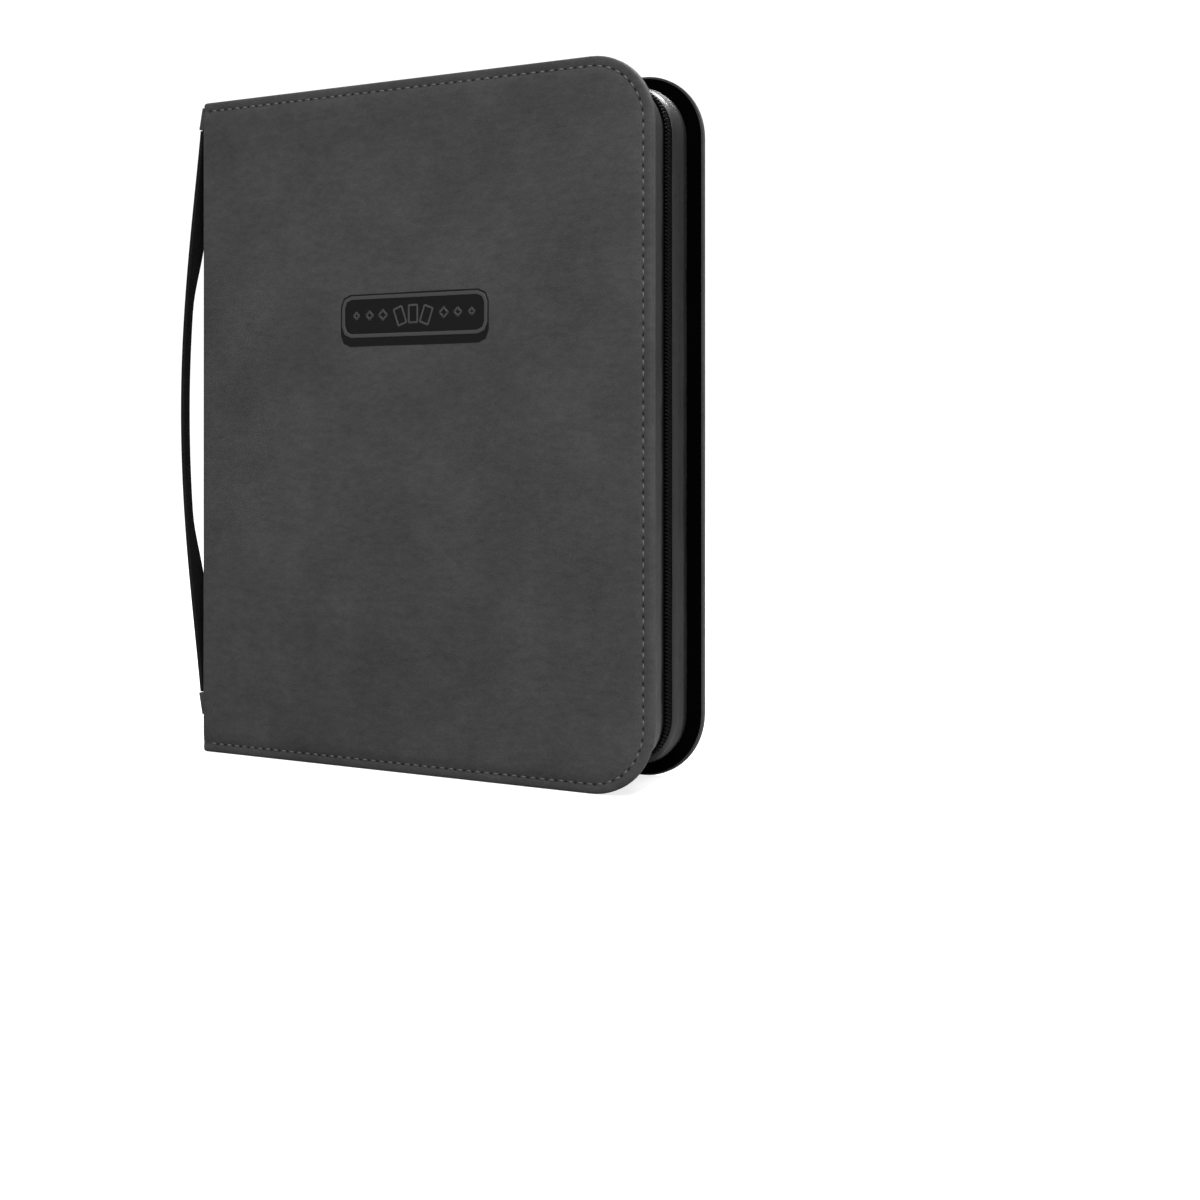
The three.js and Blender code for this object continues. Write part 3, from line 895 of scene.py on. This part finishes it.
class BINDER_OT_badge(bpy.types.Operator):
    """Makes the moulded plaque on the front cover, with a plain fan of cards on it"""

    bl_idname = "binder.badge"
    bl_label = "Badge"

    def execute(self, context):
        low, high = local_box("front_badge")
        dark = plaque_material("plaque_dark", (0.0035, 0.0035, 0.0036), (0.5, 0.66))
        light = plaque_material("plaque_raised", (0.052, 0.052, 0.052), (0.5, 0.66))
        bm = bmesh.new()
        back = rounded_rectangle(bm, (low.x, low.z), (high.x, high.z), high.y, 6.5, segments=2)
        outer = pull_out(bm, back, (0.0, 0.3 - high.y, 0.0))
        face_front(outer)
        draw_in(bm, outer, ((0.0, 0.0), (0.5, 0.35)))
        riding("badge_plaque", bm, [dark], "front_cover", ("front_badge",))
        self.raised_frame(low, high, light)
        self.card_fan(low, high, light)
        return {"FINISHED"}

    def raised_frame(self, low, high, material):
        """The rim round the plaque's sunk field, above a plain band."""
        bm = bmesh.new()
        base = low.z + BADGE_BAND
        face = rounded_rectangle(
            bm, (low.x + 1.0, base), (high.x - 1.0, high.z - 1.0), 0.1, 6.0, segments=2
        )
        draw_in(bm, face, ((0.0, 0.0), (0.35, 0.35), (BADGE_RIM - 0.35, 0.35), (BADGE_RIM, 0.0)))
        bmesh.ops.delete(bm, geom=[face], context="FACES")
        rim = [edge for edge in bm.edges if edge.is_boundary]
        made = bmesh.ops.extrude_edge_only(bm, edges=rim)["geom"]
        moved = [item for item in made if isinstance(item, bmesh.types.BMVert)]
        bmesh.ops.translate(bm, verts=moved, vec=(0.0, 0.3, 0.0))
        loops = [edge for edge in bm.edges if edge.is_boundary]
        bmesh.ops.bridge_loops(bm, edges=loops)
        riding("badge_frame", bm, [material], "front_cover")

    def card_fan(self, low, high, material):
        """A fan of three plain cards between two rows of diamonds."""
        bm = bmesh.new()
        middle = Vector(((low.x + high.x) / 2, 0.0, (low.z + BADGE_BAND + high.z) / 2))
        for side in (-1.0, 1.0):
            for i in range(3):
                place = side * (19.0 + 8.5 * i)
                self.outline(bm, middle, (place, 0.0), 45.0, (2.3 - 0.3 * i, 2.3 - 0.3 * i), 0.3)
        for side in (-1.0, 0.0, 1.0):
            offset = (side * 8.2, -0.9 * abs(side))
            self.outline(bm, middle, offset, side * 20.0, (3.2, 5.0), 1.0)
        riding("badge_cards", bm, [material], "front_cover")

    def outline(self, bm, middle, offset, tilt, half, corner):
        """One raised outline with a sunk middle, turned in the badge's plane."""
        card = bmesh.new()
        low = (-half[0], -half[1])
        face = rounded_rectangle(card, low, half, 0.12, corner, segments=3)
        outer = pull_out(card, face, (0.0, -0.2, 0.0))
        face_front(outer)
        draw_in(card, outer, ((0.0, 0.0), (0.2, 0.12), (0.9, 0.12), (1.1, -0.08)))
        matrix = Matrix.Translation(middle + Vector((offset[0], 0.0, offset[1])))
        matrix = matrix @ Matrix.Rotation(math.radians(tilt), 4, "Y")
        bmesh.ops.transform(card, matrix=matrix, verts=card.verts)
        bmesh.ops.recalc_face_normals(card, faces=card.faces)
        pour(bm, card)


# ---- gusset and zip ----
def gusset_section(low_y, high_y, bulge):
    """A soft band from the cover's seam to its turned edge beside the zip."""
    count = 9
    outer = []
    for i in range(count + 1):
        share = i / count
        y = low_y + (high_y - low_y) * share
        seam = 0.55 if i == 6 else 0.0
        outer.append((y, bulge * math.sin(math.pi * share) ** 0.7 - seam))
    hem = high_y - 0.2
    return [(low_y, -1.0), *outer, (hem + 0.5, -0.35), (hem + 0.3, -0.9), (high_y - 1.2, -1.15)]


def wrinkle(bm, height):
    bmesh.ops.recalc_face_normals(bm, faces=bm.faces)
    for vert in bm.verts:
        slow = noise.noise(Vector((vert.co.x / 24.0, vert.co.y / 7.0, vert.co.z / 24.0)))
        fast = noise.noise(vert.co / 6.0 + Vector((9.0, 4.0, 1.0)))
        vert.co += vert.normal * height * (0.75 * slow + 0.25 * fast)


class BINDER_OT_gussets(bpy.types.Operator):
    """Makes the soft band behind each cover's edge"""

    bl_idname = "binder.gussets"
    bl_label = "Gussets"

    def execute(self, context):
        bulge = context.scene.binder_gussets.bulge / MM
        spans = {
            "front": (GUSSET_LOW.y - 0.15, GUSSET_HIGH.y),
            "back": (DEPTH - BACK_GUSSET_HIGH.y - 0.15, DEPTH - BACK_GUSSET_LOW.y),
        }
        for side, (low_y, high_y) in spans.items():
            bm = bmesh.new()
            sweep_round(bm, gusset_section(low_y, high_y, bulge), GUSSET_INSET, GUSSET_LOW.x, 60, 14)
            wrinkle(bm, 0.4)
            if side == "back":
                mirror_to_back(bm)
            riding(
                f"{side}_gusset_band", bm, [gusset_leather()],
                f"{side}_cover", (f"{side}_gusset",), smooth=50.0,
            )
        return {"FINISHED"}


COIL_RADII = (0.62, 1.95, 0.85)  # one turn: along the zip, across it, outward
COIL_OFFSET = 1.25  # a row's middle, from the zip's
COIL_DEPTH = 0.8  # a row's middle, in from the outermost point
COIL_SLANT = math.radians(8.0)


class BINDER_OT_zip(bpy.types.Operator):
    """Makes both rows of the zip's coil and finishes its tapes"""

    bl_idname = "binder.zip"
    bl_label = "Zip"

    def execute(self, context):
        pitch = context.scene.binder_gussets.coil_pitch / MM
        teeth_low, teeth_high = local_box("front_zip_teeth")
        inset = WIDTH - teeth_high.x + COIL_DEPTH
        start = teeth_low.x
        for side, sign in (("front", -1.0), ("back", 1.0)):
            bm = bmesh.new()
            for i, (x, z, heading) in enumerate(round_path(inset, start, pitch / 2)):
                if i % 2 == (0 if side == "front" else 1):
                    continue
                place = Matrix.Translation((x, ZIP_Y + sign * COIL_OFFSET, z))
                lie = place @ Matrix.Rotation(-heading, 4, "Y")
                slant = Matrix.Rotation(COIL_SLANT, 4, "Z")
                bead(bm, lie @ slant @ Matrix.Diagonal((*COIL_RADII, 1.0)), 8, 5)
            riding(
                f"{side}_zip_coil", bm, [nylon_material()], f"{side}_cover",
                (f"{side}_zip_teeth",), smooth=80.0,
            )
            finish_node(f"{side}_zip_tape", tape_material())
        return {"FINISHED"}


class BINDER_OT_slider(bpy.types.Operator):
    """Makes the zip's slider and its pull"""

    bl_idname = "binder.slider"
    bl_label = "Slider"

    def execute(self, context):
        self.slider()
        self.pull()
        return {"FINISHED"}

    def slider(self):
        low, high = local_box("zip_slider")
        middle = (low + high) / 2
        bm = bmesh.new()
        for base, top in ((low.z, low.z + 2.0), (low.z + 5.4, low.z + 7.0)):
            verts = slab_between(bm, (low.x, low.y, base), (high.x, high.y, top))
            nose = [v for v in verts if v.co.x > middle.x]
            bmesh.ops.scale(
                bm, verts=nose, vec=(1.0, 0.66, 1.0), space=Matrix.Translation(-middle)
            )
            round_edges(bm, edges_of(verts), 0.45, 3)
        post = slab_between(
            bm, (low.x + 0.5, middle.y - 0.3, low.z + 1.0), (low.x + 4.0, middle.y + 0.3, low.z + 6.0)
        )
        round_edges(bm, edges_of(post), 0.1, 2)
        self.bridge(bm, low, high, middle)
        riding(
            "slider_body", bm, [black_nickel_material()], "zip_slider",
            ("zip_slider",), smooth=40.0,
        )

    def bridge(self, bm, low, high, middle):
        """The arch that holds the pull's bar."""
        arch = bmesh.new()
        centre_x = middle.x + 0.5
        points = ((centre_x - 3.0, low.z + 6.6), (centre_x - 2.1, low.z + 6.6))
        verts = []
        for y in (middle.y - 1.1, middle.y + 1.1):
            row = [arch.verts.new((x, y, z)) for x, z in points]
            verts += row if y < middle.y else row[::-1]
        face = arch.faces.new(verts)
        bmesh.ops.spin(
            arch, geom=[face, *face.edges, *face.verts], cent=(centre_x, 0.0, low.z + 6.6),
            axis=(0.0, 1.0, 0.0), angle=math.pi, steps=10, use_merge=False, use_duplicate=False,
        )
        rise = (high.z - low.z - 6.6) / 3.0
        bmesh.ops.scale(
            arch, verts=arch.verts, vec=(1.0, 1.0, rise),
            space=Matrix.Translation((0.0, 0.0, -low.z - 6.6)),
        )
        pour(bm, arch)

    def pull(self):
        low, high = local_box("zip_pull")
        mid_y = (low.y + high.y) / 2
        level = (low.z + high.z) / 2
        bm = bmesh.new()
        # the loop: a rounded frame round the window that the bridge passes through
        loop = rounded_rectangle(
            bm, (low.x, mid_y - 3.7), (low.x + 9.0, mid_y + 3.7), 0.0, 1.6, segments=4
        )
        self.frame_from(bm, loop, 1.5, 1.4)
        bmesh.ops.transform(bm, matrix=self.laid_flat(level), verts=bm.verts)
        verts = slab_between(
            bm, (low.x + 8.0, mid_y - 2.9, level - 0.75), (high.x, mid_y + 2.9, level + 0.75)
        )
        ends = [v for v in verts if v.co.x < low.x + 9.0]
        bmesh.ops.scale(
            bm, verts=ends, vec=(1.0, 0.62, 1.0), space=Matrix.Translation((0.0, -mid_y, 0.0))
        )
        round_edges(bm, edges_of(verts), 0.6, 4)
        for i in range(6):
            x = high.x - 6.0 - i * 2.0
            rib = slab_between(
                bm, (x, mid_y - 2.1, level - 0.78), (x + 0.9, mid_y + 2.1, level + 0.9)
            )
            round_edges(bm, edges_of(rib), 0.12, 2)
        riding(
            "slider_pull", bm, [black_nickel_material()], "zip_pull",
            ("zip_pull",), smooth=40.0,
        )

    def laid_flat(self, level):
        """Turns a shape drawn in x and z so that its z runs along y."""
        turn = Matrix(((1, 0, 0, 0), (0, 0, 1, 0), (0, 1, 0, level), (0, 0, 0, 1)))
        return turn

    def frame_from(self, bm, face, width, thickness):
        """A closed frame of a given width from one face."""
        bmesh.ops.inset_region(bm, faces=[face], thickness=width, use_even_offset=True)
        bmesh.ops.delete(bm, geom=[face], context="FACES")
        ring = bm.faces[:]
        made = bmesh.ops.extrude_face_region(bm, geom=ring, use_keep_orig=True)["geom"]
        moved = [item for item in made if isinstance(item, bmesh.types.BMVert)]
        bmesh.ops.translate(bm, verts=moved, vec=(0.0, thickness, 0.0))
        bmesh.ops.translate(bm, verts=bm.verts, vec=(0.0, -thickness / 2, 0.0))
        bmesh.ops.recalc_face_normals(bm, faces=bm.faces)
        sharp = [e for e in bm.edges if e.is_manifold and e.calc_face_angle(0.0) > 1.0]
        round_edges(bm, sharp, 0.35, 3)


# ---- ring mechanism ----
def smooth_copy(node, name, material, radius, body):
    """A copy of a frame node with its seams merged and its edges softened."""
    bm = bmesh.new()
    bm.from_mesh(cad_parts[node].data)
    bmesh.ops.remove_doubles(bm, verts=bm.verts, dist=1e-6)
    bmesh.ops.dissolve_limit(
        bm, angle_limit=math.radians(1.0), verts=bm.verts, edges=bm.edges
    )
    bmesh.ops.transform(bm, matrix=PLACE.inverted(), verts=bm.verts)
    piece = riding(name, bm, [material], body, (node,), smooth=38.0)
    soften = piece.modifiers.new("Edges", "BEVEL")
    soften.width = radius * MM
    soften.segments = 2
    soften.limit_method = "ANGLE"
    soften.angle_limit = math.radians(40.0)
    return piece


RING_MID = local_box("ring_front_middle")
RING_WIRE = 1.5
RING_RADIUS = MID_Y - RING_MID[0].y - RING_WIRE
RING_X = RING_MID[1].x - RING_WIRE - RING_RADIUS
RING_FOOT = math.radians(24.0)


def ring_half(z, side):
    """Half a ring: a straight shank out of the blade, then a round sweep to the tip."""
    bm = bmesh.new()
    centre = Vector((RING_X, MID_Y, z))
    reach = Vector((-math.cos(RING_FOOT), math.sin(RING_FOOT), 0.0)) * RING_RADIUS
    joint = centre + reach
    facing = Matrix.Rotation(math.pi / 2, 4, "X")
    lean = Matrix.Rotation(-RING_FOOT, 4, "Z")
    ring = bmesh.ops.create_circle(
        bm, segments=16, radius=RING_WIRE, matrix=Matrix.Translation(joint) @ lean @ facing
    )
    first = edges_of(ring["verts"])
    shank = Vector((RING_MID[0].x + RING_WIRE * 0.4, MID_Y + 6.4, z)) - joint
    turn_loop(
        bm, first, centre, (0.0, 0.0, -1.0), math.pi - RING_FOOT - 0.008, 36
    )
    push_loop(bm, first, shank)
    close_ends(bm)
    if side == "front":
        mirror_to_back(bm)
    return bm


class BINDER_OT_rings(bpy.types.Operator):
    """Makes the ring halves and finishes the rest of the mechanism"""

    bl_idname = "binder.rings"
    bl_label = "Rings"

    def execute(self, context):
        nickel = nickel_material()
        for side in ("front", "back"):
            for level in ("top", "middle", "bottom"):
                node = f"ring_{side}_{level}"
                low, high = local_box(node)
                bm = ring_half((low.z + high.z) / 2, side)
                riding(
                    f"{node}_wire", bm, [nickel], f"rings_{side}", (node,), smooth=50.0
                )
            smooth_copy(
                f"blade_{side}", f"blade_{side}_plate", nickel, 0.15, f"rings_{side}"
            )
        smooth_copy("ring_cover_plate", "mechanism_cover", nickel, 0.2, "spine")
        for level in ("top", "bottom"):
            booster = f"booster_{level}"
            smooth_copy(booster, f"{booster}_lever", nickel, 0.35, booster)
            smooth_copy(f"booster_pin_{level}", f"{booster}_pin", nickel, 0.2, "spine")
            smooth_copy(f"rivet_{level}", f"rivet_{level}_head", nickel, 0.1, "spine")
        return {"FINISHED"}


# ---- leaves ----
LEAF_BINDING = 17.0  # plain strip with the punched holes
LEAF_WELD = 3.0
POCKET_RISE = 0.12


class BINDER_OT_leaves(bpy.types.Operator):
    """Makes the punched pocket leaves"""

    bl_idname = "binder.leaves"
    bl_label = "Leaves"

    def execute(self, context):
        settings = context.scene.binder_leaves
        sheet = film_material("leaf_film", 1.0)
        welds = film_material("leaf_weld", 2.6)
        names = sorted(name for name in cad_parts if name.startswith("leaf_"))
        for name in names:
            low, high = local_box(name)
            bm = bmesh.new()
            bm.from_mesh(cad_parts[name].data)
            bmesh.ops.remove_doubles(bm, verts=bm.verts, dist=1e-6)
            bmesh.ops.dissolve_limit(
                bm, angle_limit=math.radians(1.0), verts=bm.verts, edges=bm.edges
            )
            bmesh.ops.transform(bm, matrix=PLACE.inverted(), verts=bm.verts)
            self.add_pockets(bm, low, high, settings)
            riding(f"{name}_sheet", bm, [sheet, welds], name, (name,), smooth=20.0)
        return {"FINISHED"}

    def add_pockets(self, bm, low, high, settings):
        """Shallow pocket windows on both faces, over the sheet."""
        for face in bm.faces:
            face.material_index = 1
        across = (high.x - low.x - LEAF_BINDING - LEAF_WELD) / settings.columns
        up = (high.z - low.z - LEAF_WELD) / settings.rows
        for column in range(settings.columns):
            for row in range(settings.rows):
                x = low.x + LEAF_BINDING + LEAF_WELD + column * across
                z = low.z + LEAF_WELD + row * up
                verts = slab_between(
                    bm, (x, low.y - POCKET_RISE, z),
                    (x + across - LEAF_WELD, high.y + POCKET_RISE, z + up - LEAF_WELD),
                )
                for face in faces_of(verts):
                    face.material_index = 0
                uprights = [e for e in edges_of(verts) if e.verts[0].co.y != e.verts[1].co.y]
                round_edges(bm, uprights, 1.5, 3)


# ---- carry strap ----
STRAP_WALL = 2.4
STRAP_FLATTENING = 0.35  # how much straighter the strap runs towards its ends


def bow_at(z, low, high, reach):
    along = (2 * z - low - high) / (high - low)
    return reach * (1 - along**2) * (1 - STRAP_FLATTENING * along**2)


STRAP_SPREAD = 5.0  # how much the strap broadens between its middle and its feet


def spread_at(z, low, high):
    """0 at the strap's middle and feet, 1 where it is broadest."""
    along = abs(2 * z - low - high) / (high - low)
    rise = min(1.0, max(0.0, (along - 0.36) / 0.26))
    fall = min(1.0, max(0.0, (1.0 - along) / 0.22))
    smooth = [value * value * (3.0 - 2.0 * value) for value in (rise, fall)]
    return smooth[0] * smooth[1]


class BINDER_OT_strap(bpy.types.Operator):
    """Makes the bowed carry strap and the two tabs that hold it"""

    bl_idname = "binder.strap"
    bl_label = "Carry strap"

    def execute(self, context):
        low, high = local_box("carry_strap")
        foot = -high.x  # how far the strap's inner face stands off the spine at its ends
        reach = -low.x - STRAP_WALL - foot
        bm = bmesh.new()
        verts = slab_between(
            bm, (-foot - STRAP_WALL, low.y, low.z), (-foot, high.y, high.z)
        )
        long_edges = [e for e in edges_of(verts) if e.verts[0].co.z != e.verts[1].co.z]
        round_edges(bm, long_edges, 0.75, 3)
        slice_grid(bm, 2, steps_between(low.z, high.z, 56))
        middle_y = (low.y + high.y) / 2
        for vert in bm.verts:
            if vert.co.y > middle_y:
                vert.co.y += STRAP_SPREAD * spread_at(vert.co.z, low.z, high.z)
            vert.co.x -= bow_at(vert.co.z, low.z, high.z, reach)
        riding(
            "strap", bm, [strap_leather()], "carry_strap", ("carry_strap",),
            smooth=50.0,
        )
        for level in ("top", "bottom"):
            self.tab(level)
        return {"FINISHED"}

    def tab(self, level):
        node = f"strap_tab_{level}"
        low, high = local_box(node)
        bm = bmesh.new()
        verts = slab_between(bm, low, high)
        middle = (low.z + high.z) / 2
        for vert in verts:
            if vert.co.x < low.x + 1.0:
                outward = (vert.co.z > MID_Z) == (vert.co.z > middle)
                vert.co.x = high.x - (1.0 if outward else 3.4)
        round_edges(bm, edges_of(verts), 0.45, 3)
        riding(f"strap_anchor_{level}", bm, [cover_leather()], "spine", (node,))


# ---- stage ----
class BINDER_OT_stage(bpy.types.Operator):
    """Makes the floor, the lights and the camera"""

    bl_idname = "binder.stage"
    bl_label = "Stage"

    def execute(self, context):
        self.camera(context)
        self.floor(context)
        self.lights(context)
        self.sky(context)
        context.scene.view_settings.view_transform = "Standard"
        return {"FINISHED"}

    def camera(self, context):
        data = bpy.data.cameras.new("camera")
        data.lens = context.scene.binder_stage.lens
        data.sensor_width = 36.0
        data.shift_y = -0.1325
        data.clip_end = 100.0
        camera = bpy.data.objects.new("camera", data)
        camera.location = PLACE @ Vector((656.7, -738.0, 170.4))
        camera.rotation_euler = (math.radians(90.115), 0.0, math.radians(28.74))
        context.scene.collection.objects.link(camera)
        context.scene.camera = camera

    def floor(self, context):
        bm = bmesh.new()
        bmesh.ops.create_grid(bm, x_segments=1, y_segments=1, size=40.0)
        mesh = bpy.data.meshes.new("floor")
        bm.to_mesh(mesh)
        bm.free()
        floor = bpy.data.objects.new("floor", mesh)
        context.scene.collection.objects.link(floor)
        material, tree, shader, where = new_material("floor_paint", Roughness=0.9)
        speck = add_node(tree, "ShaderNodeTexNoise", {"Vector": where, "Scale": 3.0})
        tone = rescale(tree, speck.outputs[0], 0.985, 1.015)
        base = context.scene.binder_stage.floor
        tree.links.new(tinted(tree, base, tone), shader.inputs["Base Color"])
        seen = tree.nodes.new("ShaderNodeLightPath").outputs["Is Camera Ray"]
        tree.links.new(rescale(tree, seen, 0.0, 0.8), shader.inputs["Emission Strength"])
        shader.inputs["Emission Color"].default_value = (1.0, 1.0, 1.0, 1.0)
        mesh.materials.append(material)

    def lights(self, context):
        target = PLACE @ Vector((WIDTH / 2, MID_Y, MID_Z))
        for name, kind, offset, size, power in (
            ("sun", "SUN", (0.25, -0.3, 1.6), math.radians(24.0), 2.2),
            ("key", "AREA", (1.3, -1.3, 1.5), 0.9, 38.0),
            ("corner_light", "AREA", (0.35, 0.8, 1.7), 0.5, 60.0),
            ("side_light", "AREA", (-1.7, 0.4, 0.6), 1.2, 8.0),
        ):
            data = bpy.data.lights.new(name, kind)
            if kind == "SUN":
                data.angle = size
            else:
                data.shape = "DISK"
                data.size = size
            data.energy = power
            light = bpy.data.objects.new(name, data)
            light.location = target + Vector(offset)
            light.rotation_euler = (-Vector(offset)).to_track_quat("-Z", "Y").to_euler()
            context.scene.collection.objects.link(light)

    def sky(self, context):
        """White to the eye, dimmer as a light."""
        world = bpy.data.worlds.new("studio")
        world.use_nodes = True
        tree = world.node_tree
        seen = tree.nodes.new("ShaderNodeLightPath").outputs["Is Camera Ray"]
        strength = rescale(tree, seen, 0.26, 1.1)
        tree.nodes["Background"].inputs["Color"].default_value = (1.0, 1.0, 1.0, 1.0)
        tree.links.new(strength, tree.nodes["Background"].inputs["Strength"])
        context.scene.world = world


# ---- add-on ----
OPERATORS = (
    BINDER_OT_stage, BINDER_OT_covers, BINDER_OT_spine, BINDER_OT_stitches, BINDER_OT_badge,
    BINDER_OT_gussets, BINDER_OT_zip, BINDER_OT_slider, BINDER_OT_rings, BINDER_OT_leaves,
    BINDER_OT_strap,
)
SETTINGS = {
    "binder_covers": BinderCoverSettings,
    "binder_gussets": BinderGussetSettings,
    "binder_rings": BinderRingSettings,
    "binder_leaves": BinderLeafSettings,
    "binder_stage": BinderStageSettings,
}


class BINDER_PT_panel(bpy.types.Panel):
    """The binder's settings, and a button for each group of pieces"""

    bl_label = "Card binder"
    bl_idname = "BINDER_PT_panel"
    bl_space_type = "VIEW_3D"
    bl_region_type = "UI"
    bl_category = "Binder"

    def draw(self, context):
        for name, group in SETTINGS.items():
            box = self.layout.box()
            for setting in group.__annotations__:
                box.prop(getattr(context.scene, name), setting)
        for operator in OPERATORS:
            self.layout.operator(operator.bl_idname)


def register():
    for cls in (*SETTINGS.values(), *OPERATORS, BINDER_PT_panel):
        bpy.utils.register_class(cls)
    for name, group in SETTINGS.items():
        setattr(bpy.types.Scene, name, PointerProperty(type=group))


def unregister():
    for name in SETTINGS:
        delattr(bpy.types.Scene, name)
    for cls in (BINDER_PT_panel, *reversed(OPERATORS), *reversed(SETTINGS.values())):
        bpy.utils.unregister_class(cls)


def main():
    register()
    for operator in OPERATORS:
        group, name = operator.bl_idname.split(".")
        getattr(getattr(bpy.ops, group), name)()


if __name__ == "__main__":
    main()
